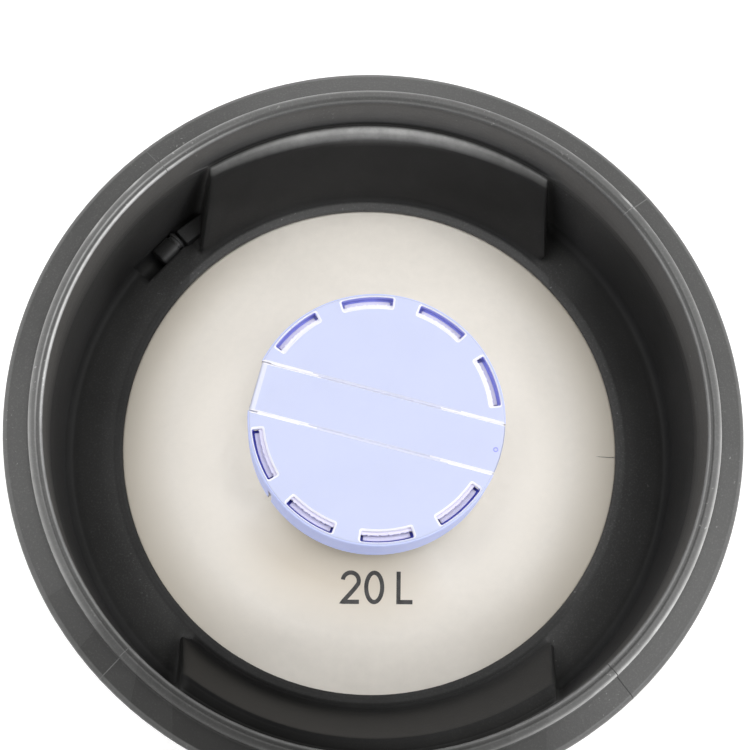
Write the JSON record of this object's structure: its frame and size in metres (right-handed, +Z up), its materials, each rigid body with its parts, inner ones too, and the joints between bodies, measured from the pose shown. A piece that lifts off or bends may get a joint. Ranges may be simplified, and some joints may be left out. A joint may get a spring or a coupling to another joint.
{
  "type": "slim beer keg",
  "caption": "Slim steel beer keg with black moulded top and foot rings, hand pockets, a sprung coupler valve in its neck and a clip-on dust cap with a tear band.",
  "frame": {"origin": "centre of the foot ring, on the floor the keg stands on", "axes": "+Z up along the tank's axis; the hand pockets face +Y and -Y, and the front is -Y"},
  "size_m": [0.24, 0.24, 0.605],
  "materials": {
    "tank_steel": "satin, pickled sheet",
    "fitting_steel": "turned and drawn steel",
    "spring_steel": "drawn wire",
    "ball_steel": "polished",
    "ring_plastic": "fine grained moulding, scuffed at the rims",
    "tag_plastic": "smooth moulding",
    "cap_plastic": "soft, slightly translucent moulding",
    "seal_rubber": "smooth"
  },
  "bodies": {
    "keg": {"body_shell": "tank_steel", "upper_head": "tank_steel", "lower_head": "tank_steel", "neck": "fitting_steel", "top_ring": "ring_plastic", "bottom_ring": "ring_plastic", "tag_capsule": "tag_plastic", "spear_body": "fitting_steel", "body_gasket": "seal_rubber", "lock_ring": "fitting_steel", "safety_latch": "fitting_steel", "spring_basket": "fitting_steel", "main_spring": "spring_steel"},
    "cap": {"dust_cap": "cap_plastic"},
    "band": {"tear_band": "cap_plastic"},
    "gas_valve": {"gas_seal": "seal_rubber", "tube_head": "fitting_steel", "down_tube": "fitting_steel", "ball_cage": "fitting_steel", "ball_spring": "spring_steel"},
    "beer_valve": {"beer_ball": "ball_steel"}
  },
  "joints": [
    {"name": "cap_lift", "type": "slide", "parent": "keg", "child": "cap", "axis": [0, 0, 1], "range_m": [0, 0.1]},
    {"name": "band_peel", "type": "hinge", "parent": "cap", "child": "band", "pos_m": [0.0402, -0.01032, 0.5933], "axis": [0.2487, 0.9686, 0], "range_deg": [0, 100]},
    {"name": "gas_valve_travel", "type": "slide", "parent": "keg", "child": "gas_valve", "axis": [0, 0, -1], "range_m": [0, 0.008], "stiffness_N_per_m": 3000, "springref_m": -0.006, "deforming": ["main_spring"]},
    {"name": "beer_valve_travel", "type": "slide", "parent": "gas_valve", "child": "beer_valve", "axis": [0, 0, -1], "range_m": [0, 0.004], "stiffness_N_per_m": 400, "springref_m": -0.004, "deforming": ["ball_spring"]}
  ]
}
